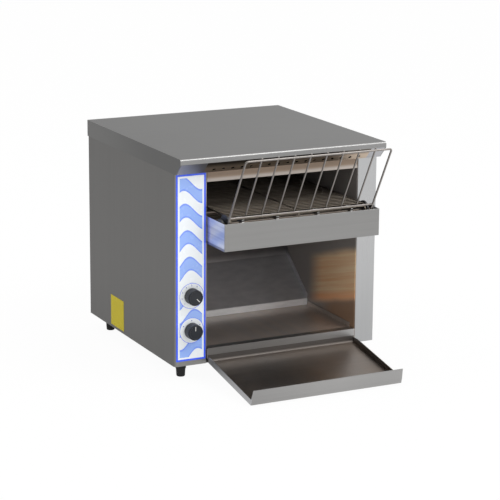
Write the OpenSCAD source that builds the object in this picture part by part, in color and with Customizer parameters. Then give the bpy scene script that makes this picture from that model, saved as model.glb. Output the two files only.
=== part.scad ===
// Conveyor toaster: a free-standing counter machine. Bread leans on a wire rack, rides
// a wire belt between heating elements, drops down a rear chute and slides out in front.
// Sizes are in millimetres. X runs to the viewer's right, Y to the back, Z up.
// Inside the modules, Y = 0 is the front face of the body and at_front() moves it home.

/* [Body] */
// Width over the side panels
body_w = 396; // [386:1:430]
// Depth from the front face to the back panel
body_d = 386; // [382:1:430]
// Height of the top of the cover above the table
total_h = 400; // [396:1:420]
// Height of the rubber feet
foot_h = 28; // [22:1:30]
// Thickness of the stainless sheet
sheet = 1.2; // [1:0.1:1.4]
// Gap left between neighbouring sheet pieces
seam = 0.3; // [0.3:0.1:0.4]
// Outer radius of the bend at the front left corner
bend_r = 6; // [4:0.5:8]
// Outer radius of the bend at the front right corner
column_bend_r = 2; // [1.8:0.1:4]
// Width of the control strip left of the toast bay
control_w = 60; // [58:1:64]
// Width of the column right of the toast bay
column_w = 38; // [34:1:44]
// Depth of the folded returns and flanges
return_d = 12; // [10:1:14]

/* [Cover] */
// How far the cover stands out in front of the body
overhang = 29; // [26:1:34]
// Height of the cover's skirts
skirt_h = 30; // [28:1:33]
// Height of the flat front lip
lip_h = 10; // [8:1:12]
// Distance in front of the body at which the sloped canopy ends
canopy_end = 9; // [7:1:11]
// Diameter of the vent holes in the canopy
vent_d = 6; // [4:0.5:6]
// Spacing of the vent holes
vent_pitch = 17.65; // [15:0.5:20]
// Number of vent holes
vent_count = 17; // [9:2:17]

/* [Toast bay] */
// Height of the header plate below the canopy
header_h = 19; // [16:1:20]
// Height of the holding floor above the table
floor_z = 54; // [50:1:58]
// Depth from the front face to the lower lip of the chute
chute_y = 180; // [170:1:190]
// Height of the chute's lip above the holding floor
chute_lip_h = 11.5; // [8:0.5:14]
// Depth of the fold where the chute gets steeper
chute_fold_y = 264; // [255:1:270]
// Height of that fold above the table
chute_fold_z = 133; // [125:1:145]
// Height of the chute's raised side edges
chute_side_h = 8; // [5:1:10]
// Gap between the chute's upright back and the back panel
back_space = 35; // [33:1:38]

/* [Infeed box] */
// How far the infeed box stands out in front of the body
box_reach = 69.5; // [69:0.5:76]
// Height of its walls
box_h = 48; // [44:1:49]
// Height of its underside above the table
box_z = 243; // [238:1:245]
// How far it laps over the right column
box_lap = 4.7; // [4:0.1:8]

/* [Belt] */
// Radius at which the belt rods turn round the shafts
belt_r = 13.5; // [12.5:0.5:14]
// Diameter of the belt rods
rod_d = 2; // [1.6:0.1:2.2]
// Width of the belt
belt_w = 265; // [255:1:266]
// Number of rod pitches from the front shaft to the rear shaft
belt_run = 33; // [32:1:34]
// Height of both belt shafts above the table
shaft_z = 285; // [283:1:287]
// Distance of the front shaft in front of the body
idler_reach = 46.5; // [44:0.5:47]
// Diameter of the belt shafts
shaft_d = 8; // [6:1:9]
// Radius of the black guide discs beside the belt
disc_r = 17.5; // [16.5:0.5:19]

/* [Chain drive] */
// Pitch of the drive chain
chain_pitch = 6.35; // [6:0.05:6.5]
// Chain pitches from the motor shaft to the belt shaft
chain_span = 31; // [30:1:31]
// Lean of the chain from upright
chain_lean = 10; // [8:1:12]
// Diameter of the motor can
motor_d = 56; // [46:1:58]
// Length of the motor can
motor_l = 60; // [45:1:70]

/* [Heaters] */
// Diameter of the sheathed heating elements
element_d = 8; // [6:0.5:8.5]
// Height of the upper elements above the table
upper_z = 356; // [354.5:0.5:357]
// Number of upper elements
upper_count = 4; // [2:1:4]
// Number of lower elements
lower_count = 3; // [2:1:3]

/* [Fan] */
// Side of the square fan frame
fan_size = 80; // [70:1:84]
// Depth of the fan frame
fan_d = 25; // [20:1:28]
// Place of the fan axis right of the centre
fan_x = 90; // [70:1:100]
// Height of the fan axis above the table
fan_z = 100; // [92:1:110]

/* [Controls] */
// Diameter of the knobs
knob_d = 28.5; // [24:0.5:32]
// Depth of the knobs
knob_h = 18; // [15:0.5:20]
// Distance of the knob axes from the left side
knob_inset = 32.5; // [30:0.5:34]
// Height of the speed knob above the table
speed_z = 153; // [145:1:165]
// Height of the selector knob above the table
selector_z = 91; // [82:1:95]
// Thickness of the control overlay
overlay_t = 0.4; // [0.3:0.1:0.6]
// Width of the control overlay
overlay_w = 56; // [50:1:56]
// Height of the overlay's lower edge above the table
overlay_z = 37; // [34:0.5:44]
// Gap between the overlay's upper edge and the canopy
overlay_gap = 2; // [2:0.5:20]

/* [Feed rack] */
// Width over the rack's outer wires
rack_w = 281.5; // [281:0.5:284]
// Length of the leaning part of the rack
rack_len = 134; // [100:1:140]
// Lean of the rack from upright
rack_lean = 29; // [22:0.5:32]
// Diameter of the outer wire
wire_d = 3.5; // [3:0.1:4]
// Diameter of the inner wires
inner_wire_d = 3; // [2:0.1:3.5]
// Number of inner wires
inner_wires = 8; // [4:1:10]

/* [Discharge tray] */
// How far the bottom of the tray's lip stands in front of the body
tray_reach = 172.3; // [150:1:185]
// Height of the tray's lip
tray_lip_h = 27.5; // [20:0.5:32]
// How far the lip flares outwards
tray_flare = 6.6; // [6:0.1:12]
// Clearance of the tray from the table
tray_clear = 2; // [1.5:0.5:6]
// Height of the tray's side flanges at the lip
tray_side_h = 9.5; // [8:0.5:18]

/* [Cord gland] */
// Radius of the bore for the supply cord
gland_bore_r = 4.5; // [3:0.1:5]
// How far the gland stands out of the back panel
gland_out = 14; // [11:1:18]

/* [Hidden] */
$fn = 48;

// Places along X
x_left = -body_w / 2;
x_right = body_w / 2;
bay_left = x_left + control_w;
bay_right = x_right - column_w;
wall_left = bay_left + sheet;           // bay face of the left inner wall
wall_right = bay_right - sheet;         // bay face of the right inner wall
fit_left = wall_left + seam;            // where pieces between the inner walls start
fit_right = wall_right - seam;          // and end
bay_mid = (wall_left + wall_right) / 2;
cover_w = body_w + 2 * (seam + sheet);
box_left = fit_left;
box_right = bay_right + box_lap;

// Places along Y, measured back from the front face
wrap_end = body_d - sheet - seam;       // rear edge of the side panels
cover_rear = body_d + seam + sheet;
chute_back_y = body_d - back_space;
idler_y = -idler_reach;
tail_d = 14;                            // how deep the infeed box's tails go into the body
tray_hook_d = 12;
tray_rear_y = -2.7;
lip_tilt = atan2(tray_flare, tray_lip_h - sheet / 2);
tray_front = tray_reach - sheet / 2 + tray_flare + sheet / 2 * cos(lip_tilt);
front_y = (tray_front - body_d - gland_out) / 2;

// Places along Z
pan_top = foot_h + sheet;
wrap_top = total_h - sheet - seam;      // upper edge of the body panels
canopy_z = total_h - skirt_h;
header_z = canopy_z - header_h;
inner_top = canopy_z;
reflector_drop = 5;                     // from the upper edge of the inner walls
reflector_z = inner_top - reflector_drop;
thermostat_rise = 35;                   // of the limit thermostat above the belt shafts
label_back = 102;                       // from the side label to the rear face
deck_z = box_z + sheet;                 // underside of the chamber deck
floor_front_h = 18;                     // depth of the holding floor's front fold

// Belt
belt_teeth = 8;                         // a whole number in each quarter turn
belt_pitch = 2 * belt_r * sin(180 / belt_teeth);
belt_span = belt_run * belt_pitch;
drive_y = idler_y + belt_span;
band_w = 2.5;                           // flat strips that tie the belt rods together
band_t = 1.6;
band_rod_overlap = 0.5;
sprocket_w = 5;
sprocket_places = [-0.8, -0.3, 0.3, 0.8] * belt_w / 2;
disc_w = 3;
disc_gap = 1.2;
bearing_t = 4;
bearing_r = 11;
bearing_drop = 23;                      // from the shaft to the foot of a bearing block
run_clear = 0.05;                       // radial clearance of a turning shaft
push_clear = 0.02;                      // radial clearance of a wheel on its shaft
hole_clear = 0.1;                       // radial clearance of a fixed piece in its hole
tip_gap = 0.3;                          // between a tooth's tip and the rod or roller over it
belt_notch_r = 2.5;

// Bushes, collars and chain
bush_r = shaft_d / 2 + 2;
bush_flange_r = bush_r + 3;
bush_flange_t = 2;
bush_l = 3;                             // how far a bush stands into the bay
collar_w = 5;
collar_r = shaft_d / 2 + 3;
collar_gap = 0.3;
chain_teeth = 16;                       // a whole number in each quarter turn
chain_r = chain_pitch / 2 / sin(180 / chain_teeth);
chain_c = chain_span * chain_pitch;
roller_r = 1.65;
chain_plate_h = 5.2;
chain_plate_t = 0.8;
roller_l = 3.2;
chain_wheel_t = 2.6;
chain_x = bay_left - 12;                // middle plane of the chain
wheel_hub_r = shaft_d / 2 + 4;
wheel_hub_l = 6;
motor_y = drive_y + chain_c * sin(chain_lean);
motor_z = shaft_z - chain_c * cos(chain_lean);
gearbox_w = 60;
gearbox_h = 70;
gearbox_d = 26;
shaft_tail = 8;                         // shaft length beyond a chain wheel's hub
drive_left_x = chain_x - chain_wheel_t / 2 - wheel_hub_l - shaft_tail;
drive_right_x = bay_right + bush_flange_t + collar_gap + collar_w + 2;

// Heaters
upper_first_y = 45;
upper_step = 75;
lower_first_y = 45;
lower_step = 85;
element_out = 16;                       // sheath length beyond an inner wall
pin_r = 1.5;
pin_l = 9;
insulator_wall = 2;
insulator_flange = 5;
insulator_flange_t = 3;

// Screws
screw_r = 2;
head_r = 3.6;
head_h = 2.2;

// Fan
fan_y = body_d - sheet - fan_d;
fan_bore_r = fan_size / 2 - 2;
fan_hole = 0.447 * fan_size;            // mounting holes from the fan axis
fan_pin_r = 2;

// Controls
knob_x = x_left + knob_inset;
knob_gap = 1.2;                         // knob's clearance from the overlay
dial_shaft_r = 3;
panel_bush_r = 3.5;
panel_nut_t = 2;
control_d = 11;                         // depth of the pot and switch behind the strip

// Discharge tray
tray_left = wall_left + 0.8;             // room to lift the tray out, wider on the right
tray_right = wall_right - 2.2;
tray_step = 22.8;                       // from the holding floor down to the tray's floor
tray_floor_rear_z = floor_z - tray_step;
tray_lip_y = -tray_reach + sheet / 2;
tray_top_z = floor_z + seam + sheet / 2;
tray_fold_r = 5;
tray_side_rear_h = 0.9 * tray_side_h;
tray_lip_end = 1.6;                     // how far each end of the lip slopes in at its top

// Feed rack
rack_leg_y = -box_reach + sheet + wire_d / 2 + 0.5;
rack_knee_z = box_z + box_h + 1;        // where the legs start to lean
rack_leg_l = 34;
rack_corner_r = 5;
rack_rung = 10;                         // cross wire's distance up the lean
rack_tail = 2;                          // how far the inner wires reach below the cross wire
rack_tip = 2.7;                         // and past the top wire
rack_left = bay_mid - rack_w / 2 + wire_d / 2;
rack_span = rack_w - wire_d;
socket_t = 1.2;
socket_w = 10;
socket_foot = rack_knee_z - rack_leg_l;
socket_zs = [socket_foot + 4, socket_foot + 16];
socket_stop_z = socket_foot - seam - socket_t;
socket_rear_y = rack_leg_y + wire_d / 2 + 0.8;

module at_front() translate([0, front_y, 0]) children();

// Box from corner a to corner b
module block(a, b) translate(a) cube(b - a);

// A (y, z) outline carried along X from x0 to x1
module along_x(x0, x1) translate([x0, 0, 0]) rotate([90, 0, 90]) linear_extrude(x1 - x0) children();

// Rods along each axis, from a start point
module rod_x(p, r, l) translate(p) rotate([0, 90, 0]) cylinder(r = r, h = l);
module rod_y(p, r, l) translate(p) rotate([-90, 0, 0]) cylinder(r = r, h = l);
module rod_z(p, r, l) translate(p) cylinder(r = r, h = l);

// Unit normal of the line from point i to the next one
function normal_at(p, i) = let (d = p[i + 1] - p[i]) [-d.y, d.x] / norm(d);

// Direction and length of the mitre at point i, for an offset of 1
function mitre(p, i) =
    i == 0 ? normal_at(p, 0) :
    i == len(p) - 1 ? normal_at(p, i - 1) :
    let (a = normal_at(p, i - 1), b = normal_at(p, i)) (a + b) / (1 + a * b);

// Cross-section of a folded sheet whose middle runs through the points
module folded(points, t = sheet) polygon(concat(
    [for (i = [0 : len(points) - 1]) points[i] + mitre(points, i) * t / 2],
    [for (i = [len(points) - 1 : -1 : 0]) points[i] - mitre(points, i) * t / 2]));

// Pan-head screw pointing along +Y from under its head
module screw_y(p, l) {
    rod_y(p, screw_r, l);
    rod_y([p.x, p.y - head_h, p.z], head_r, head_h);
}

// ---- Shell ----

cover_screw_xs = [-0.42, -0.15, 0.15, 0.42] * body_w;
cover_screw_z = total_h - skirt_h / 2;
back_screw_xs = [x_left + 7.5, x_right - 7.5];
back_screw_zs = [foot_h + 30, total_h / 2, total_h - skirt_h - 30];

module cover_side() along_x(0, sheet) polygon([
    [-overhang, total_h - lip_h], [-canopy_end, canopy_z], [cover_rear, canopy_z],
    [cover_rear, total_h], [-overhang, total_h]]);

module top_cover() color([0.55, 0.55, 0.54]) at_front() {
    slope = atan2(skirt_h - lip_h, overhang - canopy_end);
    vent_row = 0.75;                    // share of the way down the canopy's slope
    difference() {
        union() {
            block([-cover_w / 2, -overhang, total_h - sheet], [cover_w / 2, cover_rear, total_h]);
            translate([-cover_w / 2, 0, 0]) cover_side();
            translate([cover_w / 2 - sheet, 0, 0]) cover_side();
            block([-cover_w / 2, cover_rear - sheet, canopy_z], [cover_w / 2, cover_rear, total_h]);
            along_x(-cover_w / 2, cover_w / 2) folded([
                [-overhang + sheet / 2, total_h - sheet / 2],
                [-overhang + sheet / 2, total_h - lip_h + sheet / 2],
                [-canopy_end, canopy_z + sheet / 2],
                [-seam, canopy_z + sheet / 2]]);
        }
        for (i = [0 : vent_count - 1])
            translate([bay_mid + (i - (vent_count - 1) / 2) * vent_pitch,
                       -overhang + vent_row * (overhang - canopy_end),
                       total_h - lip_h - vent_row * (skirt_h - lip_h)])
                rotate([-slope, 0, 0]) cylinder(d = vent_d, h = 6 * sheet, center = true);
        for (x = cover_screw_xs)
            rod_y([x, body_d, cover_screw_z], screw_r + hole_clear, 3 * sheet);
    }
}

module header_plate() color([0.5, 0.48, 0.45]) at_front() {
    header_top = canopy_z + 8;
    along_x(fit_left, fit_right) folded([
        [return_d, header_z + sheet / 2], [sheet / 2, header_z + sheet / 2],
        [sheet / 2, header_top - sheet / 2], [return_d, header_top - sheet / 2]]);
}

// Side wall with its front face, seen from above; outer corner at the origin
module wrap_outline(w, r) {
    translate([0, r]) square([sheet, wrap_end - r]);
    intersection() {
        square(r);
        difference() {
            translate([r, r]) circle(r);
            translate([r, r]) circle(r - sheet);
        }
    }
    translate([r, 0]) square([w - r, sheet]);
}

// The folds along the bay and along the back, which start above the base pan
module wrap_returns(w) {
    translate([w - sheet, 0]) square([sheet, return_d]);
    translate([0, wrap_end - sheet]) square([return_d, sheet]);
}

module side_wrap(w, r) {
    translate([0, 0, foot_h]) linear_extrude(wrap_top - foot_h) wrap_outline(w, r);
    translate([0, 0, pan_top + seam]) linear_extrude(wrap_top - pan_top - seam) wrap_returns(w);
}

module back_screw_holes() for (x = back_screw_xs, z = back_screw_zs)
    rod_y([x, wrap_end - 2 * sheet, z], screw_r + hole_clear, 6 * sheet);

module left_side_panel() color([0.42, 0.41, 0.4]) at_front() difference() {
    translate([x_left, 0, 0]) side_wrap(control_w, bend_r);
    for (z = [speed_z, selector_z])
        rod_y([knob_x, -sheet, z], panel_bush_r + hole_clear, 3 * sheet);
    back_screw_holes();
}

module right_side_panel() color([0.72, 0.73, 0.74]) at_front() difference() {
    translate([x_right, 0, 0]) mirror([1, 0, 0]) side_wrap(column_w, column_bend_r);
    back_screw_holes();
}

gland_x = x_left + control_w / 2;
gland_z = foot_h + 32;
gland_thread_r = gland_bore_r + 3.5;
louvre_rows = 8;
louvre_w = 62;
louvre_h = 4;
louvre_pitch = 12;
louvre_xs = [-90, 0, 90];

module back_panel() color([0.6, 0.6, 0.6]) at_front() difference() {
    union() {
        block([x_left, body_d - sheet, foot_h], [x_right, body_d, wrap_top]);
        // stiffening folds at the bottom and the top, clear of the side panels
        for (z = [foot_h + sheet + seam, wrap_top - sheet])
            block([x_left + 2 * return_d, wrap_end - return_d, z],
                  [x_right - 2 * return_d, body_d - sheet / 2, z + sheet]);
    }
    for (x = louvre_xs, i = [0 : louvre_rows - 1])
        translate([x - louvre_w / 2, body_d - 2 * sheet, total_h - 2 * skirt_h - i * louvre_pitch])
            cube([louvre_w, 3 * sheet, louvre_h]);
    rod_y([fan_x, body_d - 2 * sheet, fan_z], fan_bore_r, 3 * sheet);
    fan_screw_holes(body_d - 2 * sheet, 3 * sheet);
    rod_y([gland_x, body_d - 2 * sheet, gland_z], gland_thread_r + hole_clear, 3 * sheet);
    for (x = cover_screw_xs)
        rod_y([x, body_d - 2 * sheet, cover_screw_z], screw_r + hole_clear, 3 * sheet);
    back_screw_holes();
}

pan_left = x_left + sheet + seam;
pan_right = x_right - sheet - seam;
pan_front = sheet + seam;
pan_rear = wrap_end - return_d - seam;
pan_edge_h = 10;
foot_xs = [x_left + 27, x_right - 27];
foot_ys = [33.5, body_d - 33];
foot_screw_r = 2.5;
foot_head_r = foot_screw_r + 2;
pan_slots = 6;
pan_slot_pitch = 14;

module base_pan() color([0.55, 0.55, 0.55]) at_front() difference() {
    union() {
        // the front left corner is cut back for the bend of the side panel
        block([pan_left + bend_r, pan_front, foot_h], [pan_right, pan_rear, pan_top]);
        block([pan_left, pan_front + bend_r, foot_h], [pan_right, pan_rear, pan_top]);
        for (x = [pan_left, pan_right - sheet])
            block([x, return_d + seam, foot_h], [x + sheet, pan_rear, pan_top + pan_edge_h]);
        block([pan_left, pan_rear - sheet, foot_h], [pan_right, pan_rear, pan_top + pan_edge_h]);
    }
    for (x = foot_xs, y = foot_ys)
        rod_z([x, y, foot_h - sheet], foot_screw_r + hole_clear, 3 * sheet);
    for (i = [0 : pan_slots - 1])
        translate([fan_x - fan_size / 2, chute_y + 30 + i * pan_slot_pitch, foot_h - sheet])
            cube([fan_size, 5, 3 * sheet]);
}

// ---- Inner walls and bay ----

upper_ys = [for (i = [0 : upper_count - 1]) upper_first_y + i * upper_step];
lower_ys = [for (i = [0 : lower_count - 1]) lower_first_y + i * lower_step];
element_spots = concat([for (y = upper_ys) [y, upper_z]], [for (y = lower_ys) [y, shaft_z]]);
insulator_r = element_d / 2 + insulator_wall;
wall_rear = chute_back_y + 14;
wall_foot_w = 10;
motor_hole_r = shaft_d / 2 + 5;

// Sheet of an inner wall with its foot, cut for the shaft and the elements
module inner_wall(x, foot_x) difference() {
    union() {
        block([x, sheet + seam, pan_top], [x + sheet, wall_rear, inner_top]);
        block([foot_x, return_d + 3, pan_top], [foot_x + wall_foot_w + sheet, wall_rear, pan_top + sheet]);
    }
    rod_x([x - sheet, drive_y, shaft_z], bush_r + hole_clear, 3 * sheet);
    for (p = element_spots)
        rod_x([x - sheet, p.x, p.y], insulator_r + hole_clear, 3 * sheet);
    // room for the heads of the foot screws
    for (fx = foot_xs, fy = foot_ys)
        rod_z([fx, fy, pan_top - 1], foot_head_r + 1, 3 * sheet);
}

gearbox_holes = [for (dy = [-1, 1], dz = [-1, 1]) [motor_y + dy * (gearbox_w / 2 - 7),
                                                    motor_z + dz * (gearbox_h / 2 - 7)]];

module left_inner_wall() color([0.4, 0.38, 0.36]) at_front() difference() {
    inner_wall(bay_left, bay_left - wall_foot_w);
    rod_x([bay_left - sheet, motor_y, motor_z], motor_hole_r, 3 * sheet);
    for (p = gearbox_holes)
        rod_x([bay_left - sheet, p.x, p.y], screw_r + hole_clear, 3 * sheet);
}

module right_inner_wall() color([0.4, 0.38, 0.36]) at_front()
    inner_wall(bay_right - sheet, bay_right - sheet);

module upper_reflector() color([0.6, 0.58, 0.55]) at_front() {
    reflector_rear = wall_rear - 2;
    block([fit_left, return_d + 3, reflector_z - sheet], [fit_right, reflector_rear, reflector_z]);
    for (x = [fit_left, fit_right - sheet])
        block([x, return_d + 3, reflector_z - sheet], [x + sheet, reflector_rear, inner_top + 4]);
}

deck_rear = drive_y - 2;
module chamber_deck() color([0.3, 0.29, 0.28]) at_front() {
    tail_room = sheet + seam;           // left free for the infeed box's tails
    block([fit_left + tail_room, tail_room, deck_z], [fit_right - tail_room, 2 * tail_d, deck_z + sheet]);
    along_x(fit_left, fit_right) folded([
        [tail_d + seam, deck_z + sheet / 2], [deck_rear, deck_z + sheet / 2],
        [deck_rear, deck_z - 12]]);
    for (x = [fit_left, fit_right - sheet])
        block([x, tail_d + seam, deck_z], [x + sheet, deck_rear, deck_z + 10]);
}

// Middle line of the chute: lip, slope, steep part, upright back
chute_top_z = reflector_z - sheet - seam;
chute_line = [
    [chute_y, floor_z + seam], [chute_y, floor_z + chute_lip_h],
    [chute_fold_y, chute_fold_z], [chute_back_y, shaft_z - 5], [chute_back_y, chute_top_z]];

module chute_edge() polygon([
    chute_line[1], chute_line[2], chute_line[3],
    chute_line[3] + [-chute_side_h, 0.4 * chute_side_h],
    chute_line[2] + [-0.75 * chute_side_h, 0.66 * chute_side_h],
    chute_line[1] + [-sheet / 2, 1.3 * chute_side_h]]);

module rear_chute() color([0.35, 0.36, 0.38]) at_front() {
    along_x(fit_left, fit_right) folded(chute_line);
    for (x = [fit_left, fit_right - sheet]) along_x(x, x + sheet) chute_edge();
}

module holding_floor() color([0.4, 0.38, 0.36]) at_front() {
    floor_face_y = tray_rear_y + sheet / 2 + seam + sheet / 2;
    floor_rear = chute_y + return_d;
    side_front = tray_hook_d + 5;
    leg_inset = 8;
    along_x(fit_left, fit_right) folded([
        [floor_face_y, floor_z - floor_front_h], [floor_face_y, floor_z - sheet / 2],
        [floor_rear, floor_z - sheet / 2]]);
    for (x = [fit_left, fit_right - sheet])
        block([x, side_front, floor_z - sheet], [x + sheet, chute_y - 2, floor_z + 8]);
    // legs that stand on the base pan
    for (x = [fit_left + leg_inset, fit_right - leg_inset - sheet])
        block([x, side_front, pan_top + sheet + seam], [x + sheet, floor_rear, floor_z - sheet / 2]);
}

// ---- Discharge tray ----

tray_floor_slope = (tray_floor_rear_z - tray_clear - sheet / 2) / (tray_rear_y - tray_lip_y);
function tray_floor_z(y) = tray_floor_rear_z + (y - tray_rear_y) * tray_floor_slope;

module discharge_tray() color([0.5, 0.5, 0.51]) at_front() {
    lip_foot = [tray_lip_y, tray_clear + sheet / 2];
    lip_top = [tray_lip_y - tray_flare, tray_clear + tray_lip_h];
    bend = [for (a = [0 : 30 : 90])
        [tray_rear_y - tray_fold_r + tray_fold_r * cos(a),
         tray_floor_z(tray_rear_y - tray_fold_r) + tray_fold_r - tray_fold_r * sin(a)]];
    difference() {
        along_x(tray_left, tray_right) folded(concat(
            [[tray_hook_d, tray_top_z], [tray_rear_y, tray_top_z]], bend, [lip_foot, lip_top]));
        for (side = [0, 1])
            translate([side == 0 ? tray_left : tray_right, tray_lip_y + sheet, 0]) mirror([side, 0, 0])
                rotate([90, 0, 0]) linear_extrude(tray_flare + 3 * sheet) polygon([
                    [-sheet, tray_clear + tray_side_h], [0, tray_clear + tray_side_h],
                    [tray_lip_end, lip_top.y + sheet], [-sheet, lip_top.y + sheet]]);
    }
    side_line = [
        bend[0] + [0, 4], bend[1], bend[3], lip_foot,
        lip_foot + [-tray_flare, tray_lip_h] * tray_side_h / tray_lip_h,
        [tray_rear_y - 3 * tray_fold_r, tray_floor_z(tray_rear_y) + tray_side_rear_h]];
    for (x = [tray_left, tray_right - sheet]) along_x(x, x + sheet) polygon(side_line);
}

// ---- Infeed box and feed rack ----

module infeed_box() color([0.62, 0.62, 0.63]) at_front() {
    box_front = -box_reach;
    tail_right = fit_right;
    block([box_left, box_front, box_z], [box_right, -seam, box_z + sheet]);
    block([box_left, -sheet, box_z], [tail_right, tail_d, box_z + sheet]);
    translate([0, 0, box_z]) linear_extrude(box_h) {
        translate([box_left, box_front]) square([sheet, tail_d - box_front]);
        translate([box_left, box_front]) square([box_right - box_left, sheet]);
        translate([box_right - sheet, box_front]) square([sheet, box_reach - seam]);
        translate([tail_right - sheet, -seam - sheet]) square([box_right - tail_right + sheet, sheet]);
        translate([tail_right - sheet, -seam - sheet]) square([sheet, tail_d + seam + sheet]);
    }
}

// Two pierced tabs behind the front wall guide each leg of the rack, a closed one carries it
module rack_sockets() color([0.2, 0.2, 0.2]) at_front() for (x = [rack_left, rack_left + rack_span])
    difference() {
        union() {
            for (z = concat([socket_stop_z], socket_zs))
                block([x - socket_w / 2, -box_reach + sheet, z],
                      [x + socket_w / 2, socket_rear_y, z + socket_t]);
            block([x - socket_w / 2, -box_reach + sheet, socket_stop_z],
                  [x - wire_d / 2 - 0.6, rack_leg_y, socket_zs[1] + socket_t]);
        }
        rod_z([x, rack_leg_y, socket_foot - seam], wire_d / 2 + hole_clear, rack_leg_l);
    }

// Quarter ring of wire round the origin, from +X to +Y
module wire_corner(r) intersection() {
    rotate_extrude() translate([r, 0]) circle(d = wire_d);
    translate([0, 0, -wire_d]) cube([2 * r, 2 * r, 2 * wire_d]);
}

// The leaning plane: x across, y up the lean, z to the back of the rack
module rack_frame() {
    straight = rack_len - rack_corner_r;
    inner_z = (wire_d + inner_wire_d) / 2 - 0.5;
    for (x = [0, rack_span])
        translate([x, 0, 0]) rotate([-90, 0, 0]) cylinder(d = wire_d, h = straight);
    translate([rack_span - rack_corner_r, straight, 0]) wire_corner(rack_corner_r);
    translate([rack_corner_r, straight, 0]) mirror([1, 0, 0]) wire_corner(rack_corner_r);
    translate([rack_corner_r, rack_len, 0]) rotate([0, 90, 0])
        cylinder(d = wire_d, h = rack_span - 2 * rack_corner_r);
    translate([0, rack_rung, 0]) rotate([0, 90, 0]) cylinder(d = inner_wire_d, h = rack_span);
    for (i = [1 : inner_wires])
        translate([rack_span * i / (inner_wires + 1), rack_rung - rack_tail, inner_z]) rotate([-90, 0, 0])
            cylinder(d = inner_wire_d, h = rack_len + rack_tip - rack_rung + rack_tail);
}

module feed_rack() color([0.7, 0.7, 0.68]) at_front() translate([rack_left, rack_leg_y, rack_knee_z]) {
    // turned so that the plane's y leans forward from upright
    rotate([rack_lean, 0, 0]) rotate([90, 0, 0]) mirror([0, 0, 1]) rack_frame();
    for (x = [0, rack_span]) {
        rod_z([x, 0, -rack_leg_l], wire_d / 2, rack_leg_l);
        translate([x, 0, 0]) sphere(d = wire_d + 0.1);
    }
}

// ---- Belt and its shafts ----

belt_left = bay_mid - belt_w / 2;

// Round-ended loop of the belt's pitch line, grown by g
module loop_outline(g) {
    for (y = [idler_y, drive_y]) translate([y, shaft_z]) circle(belt_r + g);
    translate([idler_y, shaft_z - belt_r - g]) square([belt_span, 2 * (belt_r + g)]);
}

module belt_rod(y, z)
    rod_x([belt_left + band_rod_overlap, y, z], rod_d / 2, belt_w - 2 * band_rod_overlap);

module conveyor_belt() color([0.5, 0.49, 0.46]) at_front() {
    for (x = [belt_left, bay_mid - band_w / 2, belt_left + belt_w - band_w])
        along_x(x, x + band_w) difference() {
            loop_outline(band_t / 2);
            loop_outline(-band_t / 2);
        }
    for (i = [0 : belt_run]) {
        belt_rod(idler_y + i * belt_pitch, shaft_z + belt_r);
        belt_rod(idler_y + i * belt_pitch, shaft_z - belt_r);
    }
    for (i = [1 : belt_teeth / 2 - 1]) let (a = i * 360 / belt_teeth) {
        belt_rod(idler_y - belt_r * sin(a), shaft_z + belt_r * cos(a));
        belt_rod(drive_y + belt_r * sin(a), shaft_z + belt_r * cos(a));
    }
}

// Toothed wheel with a low tooth under each belt rod; axis along X
module belt_sprocket(y) {
    tip_r = belt_r - rod_d / 2 - tip_gap;
    translate([0, y, shaft_z]) rotate([90, 0, 90]) linear_extrude(sprocket_w) difference() {
        circle(tip_r);
        circle(shaft_d / 2 + push_clear);
        for (i = [0 : belt_teeth - 1]) rotate((i + 0.5) * 360 / belt_teeth)
            translate([tip_r, 0]) circle(belt_notch_r);
    }
}

module idler_shaft() color([0.75, 0.75, 0.75]) at_front()
    rod_x([box_left + sheet + 0.4, idler_y, shaft_z], shaft_d / 2,
          box_right - box_left - 2 * (sheet + 0.4));

module idler_sprockets() color([0.55, 0.55, 0.56]) at_front() for (x = sprocket_places)
    translate([bay_mid + x - sprocket_w / 2, 0, 0]) belt_sprocket(idler_y);

module guide_discs() color([0.06, 0.06, 0.06]) at_front() difference() {
    for (x = [belt_left - disc_gap - disc_w, belt_left + belt_w + disc_gap])
        rod_x([x, idler_y, shaft_z], disc_r, disc_w);
    rod_x([box_left, idler_y, shaft_z], shaft_d / 2 + push_clear, box_right - box_left);
}

module idler_bearings() color([0.08, 0.08, 0.08]) at_front()
    for (x = [box_left + sheet, box_right - sheet - bearing_t])
        along_x(x, x + bearing_t) difference() {
            union() {
                translate([idler_y, shaft_z]) circle(bearing_r);
                translate([idler_y - bearing_r, shaft_z - bearing_drop])
                    square([2 * bearing_r, bearing_drop]);
            }
            translate([idler_y, shaft_z]) circle(shaft_d / 2 + run_clear);
        }

module drive_shaft() color([0.75, 0.75, 0.75]) at_front()
    rod_x([drive_left_x, drive_y, shaft_z], shaft_d / 2, drive_right_x - drive_left_x);

module drive_sprockets() color([0.55, 0.55, 0.56]) at_front() for (x = sprocket_places)
    translate([bay_mid + x - sprocket_w / 2, 0, 0]) belt_sprocket(drive_y);

module shaft_bushes() color([0.72, 0.58, 0.3]) at_front() difference() {
    union() {
        rod_x([bay_left, drive_y, shaft_z], bush_r, sheet + bush_l);
        rod_x([bay_left - bush_flange_t, drive_y, shaft_z], bush_flange_r, bush_flange_t);
        rod_x([wall_right - bush_l, drive_y, shaft_z], bush_r, sheet + bush_l);
        rod_x([bay_right, drive_y, shaft_z], bush_flange_r, bush_flange_t);
    }
    rod_x([x_left, drive_y, shaft_z], shaft_d / 2 + run_clear, body_w);
}

module shaft_collars() color([0.6, 0.6, 0.6]) at_front() difference() {
    union() {
        rod_x([bay_left - bush_flange_t - collar_gap - collar_w, drive_y, shaft_z], collar_r, collar_w);
        rod_x([bay_right + bush_flange_t + collar_gap, drive_y, shaft_z], collar_r, collar_w);
    }
    rod_x([x_left, drive_y, shaft_z], shaft_d / 2 + push_clear, body_w);
}

// ---- Chain drive ----

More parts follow.
